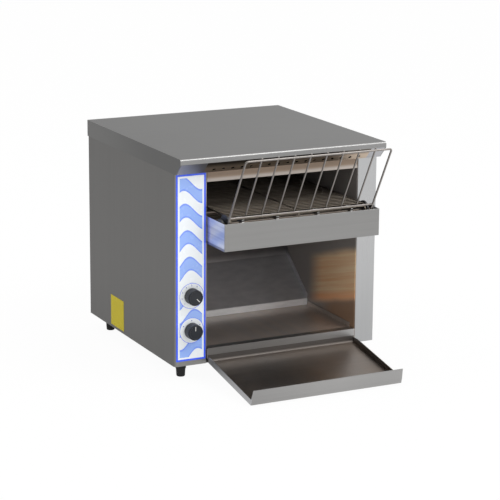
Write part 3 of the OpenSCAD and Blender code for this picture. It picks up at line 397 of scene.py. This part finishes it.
# ---- Shafts, wheels and bearings of the belt ----
# Two ground steel shafts, painted dark as shade inside the belt, carry the belt's toothed wheels.
# The front one runs in black bearing blocks in the infeed box, with a guide disc
# each side of the belt; the rear one in bronze bushes, held by collars.

def turned_steel(name, tone, roughness, oil=0.0):
    """Steel turned or ground round X, with fine rings and a little oil."""
    finish = Finish(name, metallic=1.0)
    place = finish.place()
    rings = finish.grain(place, (1400.0, 30.0, 30.0), 2.0) - 0.5
    film = finish.grain(place, (35.0, 35.0, 35.0), 4.0)
    finish.feed("Base Color", finish.shade(tone, 1.0 + 0.18 * rings - oil * film))
    finish.feed("Roughness", roughness + 0.15 * rings + 0.2 * (film - 0.5))
    finish.raise_by(rings, 0.08, 0.0001)
    return finish


ground_steel = turned_steel("ground_steel", (0.56, 0.56, 0.56), 0.24)
wheel_steel = turned_steel("wheel_steel", (0.36, 0.35, 0.34), 0.42, oil=0.35)
bronze = turned_steel("bronze", (0.58, 0.42, 0.20), 0.40, oil=0.2)
shade_dark_steel = turned_steel("shade_dark_steel", (0.13, 0.11, 0.095), 0.42, oil=0.3)
for shaft in ("shaft_collars", "motor_shaft"):
    dress(shaft, ground_steel, 0.0003)
# Painted shade: the shafts inside the belt are darkened.
for shaft in ("idler_shaft", "drive_shaft"):
    dress(shaft, shade_dark_steel, 0.0003)
for wheel in ("idler_sprockets", "drive_sprockets"):
    dress(wheel, wheel_steel, 0.0002)
dress("guide_discs", black_plastic, 0.0005)
dress("idler_bearings", black_plastic, 0.0006)
dress("shaft_bushes", bronze, 0.0003)


# ---- Conveyor belt ----
# An endless ladder of stainless wire: round rods across, tied by narrow strips
# at the edges and in the middle. The heat has turned the wire straw and brown.

wire_brown = (0.080, 0.063, 0.047, 1.0)
wire_straw = (0.20, 0.178, 0.15, 1.0)
belt_wire = Finish("belt_wire", metallic=1.0)
temper = belt_wire.grain(belt_wire.place(), (9.0, 60.0, 30.0), 4.0)
belt_wire.feed("Base Color", belt_wire.mix(wire_brown, wire_straw, temper))
belt_wire.feed("Roughness", 0.30 + 0.2 * temper)
dress("conveyor_belt", belt_wire, 0.0002)


# ---- Chain drive and motor ----
# A geared motor stands behind the left inner wall and drives the rear shaft
# through a roller chain. The gearbox is cast alloy, the can is painted steel,
# and the chain and its wheels are oiled.

chain_steel = turned_steel("chain_steel", (0.22, 0.21, 0.20), 0.45, oil=0.45)
cast_alloy = Finish("cast_alloy", metallic=1.0, roughness=0.55)
sand = cast_alloy.grain(cast_alloy.place(), (420.0, 420.0, 420.0), 4.0)
cast_alloy.feed("Base Color", cast_alloy.shade((0.46, 0.46, 0.47), 0.8 + 0.4 * sand))
cast_alloy.raise_by(sand, 0.35, 0.0003)
motor_paint = moulded("motor_paint", (0.035, 0.036, 0.04), 0.38, coat=0.3)
for link in ("driven_chain_wheel", "motor_chain_wheel", "drive_chain"):
    dress(link, chain_steel, 0.0001)
dress("motor_gearbox", cast_alloy, 0.0008)
dress("motor_can", motor_paint, 0.0008)


# ---- Cooling fan ----
# A bought-in axial fan behind the back panel: a square moulded frame, a seven
# bladed rotor on its hub, and a wire guard outside.

plated_wire = turned_steel("plated_wire", (0.62, 0.61, 0.59), 0.22)
dress("fan_frame", black_plastic, 0.0005)
dress("fan_impeller", black_plastic, 0.0003)
dress("fan_guard", plated_wire, 0.0002)


# ---- Electrics ----
# Bought-in pieces of moulded plastic and plated steel: the speed control's
# board on its spacers, the potentiometer, the heat switch, the terminal block
# and the gland for the mains lead.

track_pitch = 0.0025
track_share = 0.35
board_green = (0.018, 0.12, 0.045, 1.0)
track_green = (0.04, 0.22, 0.09, 1.0)

board = Finish("board_green", coat=0.5)
tracks = ((board.along("Y") / track_pitch) % 1.0 < track_share) * (
    board.grain(board.place(), (90.0, 90.0, 90.0), 1.0) > 0.5)
board.feed("Base Color", board.mix(board_green, track_green, tracks))
board.feed("Roughness", 0.34 + 0.2 * tracks)
white_plastic = moulded("white_plastic", (0.72, 0.71, 0.67), 0.42)
pot_case = moulded("pot_case", (0.055, 0.075, 0.08), 0.34, coat=0.3)
plated_steel = turned_steel("plated_steel", (0.60, 0.60, 0.58), 0.28)
dress("speed_board", board, 0.0003)
dress("board_spacers", white_plastic, 0.0003)
dress("terminal_block", white_plastic, 0.0005)
dress("speed_pot", pot_case, 0.0003)
dress("selector_switch", black_plastic, 0.0004)
dress("pot_shaft", ground_steel, 0.0002)
dress("selector_shaft", ground_steel, 0.0002)
dress("cord_gland", black_plastic, 0.0004)
dress("gland_locknut", black_plastic, 0.0004)
dress("panel_nuts", plated_steel, 0.0002)


# ---- Infeed box ----
# The folded stainless box in front of the belt. Its front wall is one sheet
# with soft bends, and it holds the two black sockets that the rack's legs drop
# into.

box_low, box_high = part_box("infeed_box")
sheet_skin = 0.0006
inside_shade_top = 0.006
inside_shade_front = 0.003
end_shadow_height = 0.0045
box_grey = (0.292, 0.289, 0.284, 1.0)
end_reflection_dim = (0.50, 0.52, 0.64, 1.0)
end_reflection_bright = (0.76, 0.77, 0.84, 1.0)
end_shadow_dark = (0.16, 0.17, 0.25, 1.0)
inside_shade_dark = (0.05, 0.045, 0.04, 1.0)

# The left end carries a painted reflection of the blue strip beside it, in
# level streaks over a painted shadow along its foot. The bottom inside is
# painted dark as shade.
box_sheet = Finish("box_sheet", metallic=1.0)
box_x, box_y, box_z = (box_sheet.along(axis) for axis in "XYZ")
left_end = (box_x < box_low.x + sheet_skin) * (box_y > box_low.y + sheet_skin)
between_ends = (box_x > box_low.x + sheet_skin) * (box_x < box_high.x - sheet_skin)
# Painted shade: the bottom inside the box is dark.
shaded_inside = between_ends * (box_y > box_low.y + inside_shade_front) * (
    box_z > box_low.z + sheet_skin) * (box_z < box_low.z + inside_shade_top)
# Painted reflection of the blue strip on the left end.
end_streaks = box_sheet.ramp(box_sheet.grain(box_sheet.place(), (4.0, 6.0, 170.0), 3.0), 0.30, 0.70)
end_reflection = box_sheet.mix(end_reflection_dim, end_reflection_bright, end_streaks)
# Painted shadow along the end's foot.
end_reflection = box_sheet.mix(end_reflection, end_shadow_dark, 0.85 * (box_z < box_low.z + end_shadow_height))
box_tone = box_sheet.mix(box_grey, end_reflection, left_end)
brush(box_sheet, box_sheet.mix(box_tone, inside_shade_dark, shaded_inside), "X",
      roughness=0.33 + 0.04 * left_end + 0.2 * shaded_inside, marks=0.12)
socket_black = moulded("socket_black", (0.03, 0.03, 0.03), 0.4)
dress("infeed_box", box_sheet, 0.0011)
dress("rack_sockets", socket_black, 0.0002)


# ---- Feed rack ----
# The leaning rack that the bread stands against: a bent outer wire with eight
# thinner wires welded to it, nickel plated. It lifts out of its sockets.

rack_wire = turned_steel("rack_wire", (0.27, 0.25, 0.235), 0.32)
dress("feed_rack", rack_wire, 0.0002)


# ---- Top cover and header ----
# The cover is one folded sheet with a sloping canopy that has a row of vent
# holes. Its broad top is brushed from left to right. The header plate closes
# the gap above the infeed.

cover_low, cover_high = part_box("top_cover")
bay_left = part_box("left_inner_wall")[0].x
bay_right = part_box("right_inner_wall")[1].x
canopy_reach = 0.045
lip_depth = 0.010
lip_foot = cover_high.z - lip_depth
fold_shadow_depth = 0.013
skirt_skin = 0.002
skirt_sheen_start = 0.08
corner_slack = 0.0004
brow_bend = 0.0036
lip_bend = 0.0026
cover_grey = (0.305, 0.303, 0.30, 1.0)
skirt_sheen_grey = (0.41, 0.407, 0.40, 1.0)
canopy_reflection_grey = (0.44, 0.44, 0.46, 1.0)
canopy_straw_and_reflection = (0.62, 0.49, 0.37, 1.0)
fold_shadow_brown = (0.05, 0.042, 0.036, 1.0)

# The left skirt carries a painted sheen that grows towards the rear. Below its
# lip the canopy is painted paler and bluish between the skirts as a reflection,
# straw brown over the bay as heat tint and painted reflection of the toast, and
# dark up in the fold with painted shadow.
cover_sheet = Finish("cover_sheet", metallic=1.0)
cover_x, cover_y, cover_z = (cover_sheet.along(axis) for axis in "XYZ")
# Painted sheen on the left skirt, growing towards the rear.
left_skirt_sheen = (cover_x < cover_low.x + sheet_skin) * cover_sheet.ramp(
    cover_y, cover_low.y + skirt_sheen_start, cover_high.y)
under_lip = (cover_y < cover_low.y + canopy_reach) * (cover_z < lip_foot)
between_skirts = (cover_x > cover_low.x + skirt_skin) * (cover_x < cover_high.x - skirt_skin)
bay_canopy = 0.9 * under_lip * (cover_x > bay_left) * (cover_x < bay_right)
# Painted shadow up in the fold behind the lip.
fold_shadow = cover_sheet.ramp(cover_z, lip_foot - fold_shadow_depth, lip_foot - 0.15 * fold_shadow_depth)
cover_tone = cover_sheet.mix(cover_grey, skirt_sheen_grey, left_skirt_sheen)
# Painted reflection: the canopy is paler and bluish between the skirts.
cover_tone = cover_sheet.mix(cover_tone, canopy_reflection_grey, under_lip * between_skirts)
# Straw over the bay: heat tint and a painted reflection of the toast.
cover_tone = cover_sheet.mix(cover_tone, canopy_straw_and_reflection, bay_canopy)
cover_tone = cover_sheet.mix(cover_tone, fold_shadow_brown, bay_canopy * fold_shadow)
brush(cover_sheet, cover_tone, "X", roughness=0.38, marks=0.10)


def brow(corner):
    """Whether a corner is on the edge between the top and the front lip."""
    return corner.y < cover_low.y + corner_slack and corner.z > cover_high.z - corner_slack


def lip_edge(corner):
    """Whether a corner is on the lower edge of the front lip."""
    return corner.y < cover_low.y + corner_slack and corner.z < cover_high.z - 0.5 * lip_depth


dress("top_cover", cover_sheet, 0.0005, rolls=((brow_bend, brow), (lip_bend, lip_edge)))

# The header is brown from the heat, with a painted highlight along its lower
# edge. Its upper part is painted black as shade, and shows only through the
# vent holes.
header_low, header_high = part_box("header_plate")
highlight_full = 0.003
highlight_end = 0.009
hidden_depth = 0.0085
header_brown = (0.25, 0.19, 0.145, 1.0)
header_highlight_grey = (0.46, 0.41, 0.37, 1.0)
header_shade_black = (0.010, 0.009, 0.008, 1.0)

header_sheet = Finish("header_sheet", metallic=1.0)
header_z = header_sheet.along("Z")
# Painted highlight: a lighter band along the lower edge.
lower_edge_highlight = 1.0 - header_sheet.ramp(header_z, header_low.z + highlight_full, header_low.z + highlight_end)
# Painted shade: the hidden upper part is black.
hidden = header_z > header_high.z - hidden_depth
header_tone = header_sheet.mix(header_brown, header_highlight_grey, lower_edge_highlight)
brush(header_sheet, header_sheet.mix(header_tone, header_shade_black, hidden), "X",
      roughness=0.34 + 0.4 * hidden, marks=0.5)
dress("header_plate", header_sheet)


# ---- Discharge tray ----
# The folded tray that catches the toast, hooked over the front of the holding
# floor. Its flat lip flares outwards, its left flange is lighter with painted
# sheen, its floor is painted darker as shade and has browned a little, and the
# bend at its rear is painted dark as shade.

tray_low, tray_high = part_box("discharge_tray")
lip_lean = 0.0095
lip_blur = 0.004
brown_top = 0.014
brown_full = 0.026
tray_gap = 0.0022
tray_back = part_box("right_side_panel")[0].y - tray_gap
tray_bend = 0.0058
tray_drop = 0.0125
tray_grey = (0.36, 0.355, 0.35, 1.0)
flange_sheen_grey = (0.50, 0.50, 0.51, 1.0)
tray_floor_shaded = (0.235, 0.232, 0.232, 1.0)
floor_brown = (0.27, 0.205, 0.155, 1.0)
rear_bend_shade_brown = (0.10, 0.088, 0.080, 1.0)

tray_sheet = Finish("tray_sheet", metallic=1.0)
tray_x, tray_y, tray_z = (tray_sheet.along(axis) for axis in "XYZ")
behind_lip = tray_sheet.ramp(tray_y, tray_low.y + lip_lean, tray_low.y + lip_lean + lip_blur)
low_down = 1.0 - tray_sheet.ramp(tray_z, tray_high.z - brown_full, tray_high.z - brown_top)
# Painted sheen: the left flange is lighter.
left_flange = tray_x < tray_low.x + sheet_skin
# Painted shade darkens the rear bend, over its highlight.
rear_bend_shade = tray_sheet.ramp(tray_y, tray_back - tray_bend, tray_back - 0.5 * tray_bend) * (
    tray_y < tray_back) * (tray_z < tray_high.z - tray_drop)
browned = tray_sheet.grain(tray_sheet.place(), (9.0, 9.0, 9.0), 3.0)
tray_tone = tray_sheet.mix(tray_grey, flange_sheen_grey, left_flange)
# Painted shade: the floor inside is darker; the brown patches are heat.
tray_tone = tray_sheet.mix(tray_tone, tray_sheet.mix(tray_floor_shaded, floor_brown, browned),
                           behind_lip * low_down * (1.0 - left_flange))
brush(tray_sheet, tray_sheet.mix(tray_tone, rear_bend_shade_brown, 0.8 * rear_bend_shade), "X",
      roughness=0.36 + 0.14 * rear_bend_shade, marks=0.18)
dress("discharge_tray", tray_sheet, 0.0005)


# ---- Control strip ----
# A printed polyester film stuck to the front of the left panel: a blue edge,
# pale waves rising over a white ground, and a plain ring round each dial.

strip_low, strip_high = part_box("control_overlay")
speed_low, speed_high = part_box("speed_knob")
selector_low, selector_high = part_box("selector_knob")
speed_centre = (speed_low + speed_high) / 2
selector_centre = (selector_low + selector_high) / 2
strip_edge = 0.0034
strip_margin = 0.0066
wave_height = 0.047
wave_share = 0.46
crest_line = 0.035
foot_line = 0.032
wave_sway = 0.26
sway_across = 95.0
sway_up = 9.0
dial_ring = 0.0225
ring_line = 0.0004
film_white = (0.93, 0.97, 1.0, 1.0)
film_pale = (0.33, 0.50, 1.0, 1.0)
film_line = (0.22, 0.36, 1.0, 1.0)
film_blue = (0.045, 0.125, 1.0, 1.0)

film = Finish("strip_film", coat=0.4)
film_x = film.along("X")
film_z = film.along("Z")
to_edge = (film_x - strip_low.x).least(strip_high.x - film_x).least(
    (film_z - strip_low.z).least(strip_high.z - film_z))
sway = wave_sway * (film_x * sway_across + film_z * sway_up).sine()
rise = (film_z / wave_height + sway) % 1.0
waves = rise < wave_share
outline = (abs(rise - wave_share) < crest_line).most(abs(rise - 0.5) > 0.5 - foot_line)
printed = film.mix(film.mix(film_white, film_pale, waves), film_line, outline)
printed = film.mix(printed, film_white, to_edge < strip_margin)
for centre in (speed_centre, selector_centre):
    off_x = film_x - centre.x
    off_z = film_z - centre.z
    reach = film.node("Math", {"operation": "SQRT"}, {0: off_x * off_x + off_z * off_z})
    printed = film.mix(printed, film_white, reach < dial_ring)
    printed = film.mix(printed, film_blue, abs(reach - dial_ring) < ring_line)
film.feed("Base Color", film.mix(printed, film_blue, to_edge < strip_edge))
film.feed("Roughness", 0.26 + 0.16 * (film.grain(film.place(), (80.0, 80.0, 80.0), 3.0) - 0.5))
dress("control_overlay", film, 0.0001)

# Printed figures round the speed dial, and marks beside the heat dial, in a
# darker blue ink that stands a few hundredths of a millimetre proud.
ink_depth = 0.00006
dial_sweep = 270
figure_count = 9
figure_size = 0.0046
figure_reach = 0.0186
mark_radius = 0.0009
mark_reach = 0.0178
mark_turn = 60

ink = Finish("dial_ink", roughness=0.4)
ink_body = ink.grain(ink.place(), (900.0, 900.0, 900.0), 2.0)
ink.feed("Base Color", ink.shade((0.03, 0.05, 0.42), 0.9 + 0.2 * ink_body))


def settle(piece, finish, body):
    """Apply a new piece's place, give it its finish and hang it on its body."""
    bpy.ops.object.select_all(action="DESELECT")
    piece.select_set(True)
    bpy.context.view_layer.objects.active = piece
    bpy.ops.object.transform_apply(location=True, rotation=True, scale=True)
    piece.data.materials.clear()
    piece.data.materials.append(finish.material)
    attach(piece, body)
    piece.select_set(False)


def dial_point(centre, turn, reach):
    """A point round a dial on the strip's face, turned clockwise from the top."""
    angle = math.radians(turn)
    return Vector((centre.x + reach * math.sin(angle), strip_low.y - ink_depth,
                   centre.z + reach * math.cos(angle)))


figures = []
for step in range(figure_count):
    turn = dial_sweep * (step / (figure_count - 1) - 0.5)
    bpy.ops.object.text_add(location=dial_point(speed_centre, turn, figure_reach),
                            rotation=(math.radians(90), 0, 0))
    figure = bpy.context.object
    figure.data.body = str(step + 1)
    figure.data.size = figure_size
    figure.data.align_x = "CENTER"
    figure.data.align_y = "CENTER"
    figure.data.extrude = ink_depth
    figure.data.resolution_u = 3
    bpy.ops.object.convert(target="MESH")
    figures.append(figure)
for turn in (-mark_turn, 0, mark_turn):
    bpy.ops.mesh.primitive_cylinder_add(
        vertices=20, radius=mark_radius, depth=2 * ink_depth, rotation=(math.radians(90), 0, 0),
        location=dial_point(selector_centre, turn, mark_reach))
    figures.append(bpy.context.object)
bpy.ops.object.select_all(action="DESELECT")
for figure in figures:
    figure.select_set(True)
bpy.context.view_layer.objects.active = figures[0]
bpy.ops.object.join()
figures[0].name = "dial_figures"
settle(figures[0], ink, "root")


# ---- Side label ----
# A plain yellow polyester label, a little faded and dusty, stuck low on the
# left panel.

label_deep = (0.44, 0.355, 0.004, 1.0)
label_pale = (0.54, 0.45, 0.010, 1.0)
label_film = Finish("label_film")
fade = label_film.grain(label_film.place(), (30.0, 30.0, 30.0), 4.0)
label_film.feed("Base Color", label_film.mix(label_deep, label_pale, fade))
label_film.feed("Roughness", 0.48 + 0.2 * fade)
dress("side_label", label_film, 0.0001)


# ---- Dial knobs ----
# Two fluted black knobs pressed on their shafts. Each has a white line laid
# into the groove of its face. The speed knob rests at its clockwise end, and
# the selector knob points straight up.

knob_plastic = moulded("knob_plastic", (0.006, 0.009, 0.015), 0.38, coat=0.06, texture=0.05)
pointer_white = moulded("pointer_white", (0.80, 0.80, 0.77), 0.4)
pointer_w = 0.0012
pointer_from = 0.0031
pointer_to = 0.0107
pointer_back = 0.0014
pointer_proud = 0.00055
pointer_edge = 0.0002
for name, body, face, centre, turn in (
        ("speed", "speed_dial", speed_low.y, speed_centre, dial_sweep / 2),
        ("selector", "selector_dial", selector_low.y, selector_centre, 0)):
    dress(name + "_knob", knob_plastic, 0.0003)
    angle = math.radians(turn)
    middle = (pointer_from + pointer_to) / 2
    front = face + pointer_proud
    rear = face + pointer_back
    bpy.ops.mesh.primitive_cube_add(size=1, rotation=(0, angle, 0), location=(
        centre.x + middle * math.sin(angle), (front + rear) / 2, centre.z + middle * math.cos(angle)))
    pointer = bpy.context.object
    pointer.name = name + "_pointer"
    pointer.scale = (pointer_w, rear - front, pointer_to - pointer_from)
    bpy.ops.object.transform_apply(location=False, rotation=False, scale=True)
    rounding = pointer.modifiers.new("edges", "BEVEL")
    rounding.width = pointer_edge
    rounding.segments = 3
    bpy.ops.object.modifier_apply(modifier="edges")
    settle(pointer, pointer_white, body)


# ---- Feet and screws ----
# Four moulded rubber feet, each held by a screw through the base pan, and the
# plated screws of the cover, the back, the fan and the motor.

rubber = moulded("foot_rubber", (0.014, 0.014, 0.014), 0.6, texture=0.25)
dress("rubber_feet", rubber, 0.0006)
for screws in ("foot_screws", "cover_screws", "back_screws", "fan_screws", "motor_screws"):
    dress(screws, plated_steel, 0.0002)


# ---- Studio ----
# A seamless pale floor under a wide soft dome, with one large lamp high in
# front on the right and a weaker one behind on the left. Steel sees a bright
# side on the right, a dim one on the left and a bright patch overhead.

bright_side = Vector((0.75, -0.66, 0.0))
dim_sheen = 0.27
sheen_range = 0.75
sheen_blend = 0.9
overhead_sheen = 0.75
overhead_from = 0.62
overhead_full = 0.92
dome_strength = 0.95
floor_radius = 7.0
floor_gap = 0.0002
floor_whiteness = 0.95
floor_gleam = 0.85
paper_grey = (0.86, 0.86, 0.86, 1.0)
pure_white = (1.0, 1.0, 1.0, 1.0)


class Surround(Finish):
    """Nodes of the world or the floor, which have their own shaders."""

    def __init__(self, tree):
        self.tree = tree

    def sheen(self, direction):
        """Brightness that steel sees in a direction."""
        toward = self.along("X", direction) * bright_side.x + self.along("Y", direction) * bright_side.y
        return dim_sheen + sheen_range * self.ramp(toward, -sheen_blend, sheen_blend)

    def light_path(self):
        """Whether a ray comes straight from the camera, and whether off steel or through glass."""
        path = {name: self.node("LightPath", {}, {}, name)
                for name in ("Is Camera Ray", "Is Glossy Ray", "Is Transmission Ray")}
        return path["Is Camera Ray"], path["Is Glossy Ray"].most(path["Is Transmission Ray"])


world = bpy.data.worlds.new("studio")
bpy.context.scene.world = world
world.use_nodes = True
dome = Surround(world.node_tree)
dome.tree.nodes.clear()
seen, mirrored = dome.light_path()
sky_place = dome.node("TexCoord", {}, {}, "Generated")
overhead = dome.ramp(dome.along("Z", sky_place), overhead_from, overhead_full)
steel_sees = dome.sheen(sky_place) + overhead_sheen * overhead
strength = seen + (1.0 - seen) * (mirrored * steel_sees + (1.0 - mirrored) * dome_strength)
sky = dome.node("Background", {}, {"Color": pure_white, "Strength": strength})
dome.join(dome.tree.nodes.new("ShaderNodeOutputWorld").inputs["Surface"], sky)

bpy.ops.mesh.primitive_circle_add(
    vertices=96, radius=floor_radius, fill_type="NGON", location=(0, 0, cad_box[0][2] - floor_gap))
floor = bpy.context.object
floor.name = "studio_floor"
floor_paint = bpy.data.materials.new("studio_floor")
floor_paint.use_nodes = True
ground = Surround(floor_paint.node_tree)
ground.tree.nodes.clear()
seen, mirrored = ground.light_path()
outward = ground.node("VectorMath", {"operation": "NORMALIZE"}, {0: ground.place()})
paper = ground.node("BsdfDiffuse", {}, {"Color": paper_grey})
white = ground.node("Emission", {}, {"Color": pure_white, "Strength": 1.0})
gleam = ground.node("Emission", {}, {"Color": pure_white, "Strength": ground.sheen(outward)})
lit = ground.node("MixShader", {}, {0: seen * floor_whiteness, 1: paper, 2: white})
lit = ground.node("MixShader", {}, {0: mirrored * floor_gleam, 1: lit, 2: gleam})
ground.join(ground.tree.nodes.new("ShaderNodeOutputMaterial").inputs["Surface"], lit)
floor.data.materials.append(floor_paint)


def soft_lamp(name, place, target, size, power):
    """A large square lamp that looks at a point."""
    bpy.ops.object.light_add(type="AREA", location=place)
    lamp = bpy.context.object
    lamp.name = name
    lamp.data.shape = "SQUARE"
    lamp.data.size = size
    lamp.data.energy = power
    lamp.rotation_euler = (Vector(target) - Vector(place)).to_track_quat("-Z", "Y").to_euler()


soft_lamp("key_lamp", (1.35, -1.65, 3.1), (0.0, 0.0, 0.2), size=1.8, power=42.0)
soft_lamp("rim_lamp", (-2.4, 0.8, 2.2), (0.0, 0.0, 0.25), size=1.6, power=12.0)

# The camera stands a good three metres off at the height of a raised eye, to
# the left of the front, with a long lens.
camera_place = Vector((-1.5406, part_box("right_side_panel")[0].y - 2.962, 1.0481))
camera_turn = math.radians(-26.66)
camera_tilt = math.radians(13.98)
camera_roll = math.radians(0.47)
back = Vector((math.sin(camera_turn) * math.cos(camera_tilt),
               -math.cos(camera_turn) * math.cos(camera_tilt), math.sin(camera_tilt)))
right = (-back).cross(Vector((0, 0, 1))).normalized()
up = right.cross(-back)
rolled_right = right * math.cos(camera_roll) + up * math.sin(camera_roll)
rolled_up = up * math.cos(camera_roll) - right * math.sin(camera_roll)
bpy.ops.object.camera_add()
camera = bpy.context.object
camera.name = "camera"
camera.data.sensor_width = 36.0
camera.data.lens = 141.17
camera.matrix_world = Matrix.Translation(camera_place) @ Matrix(
    (rolled_right, rolled_up, back)).transposed().to_4x4()
bpy.context.scene.camera = camera
bpy.context.scene.view_settings.view_transform = "Standard"
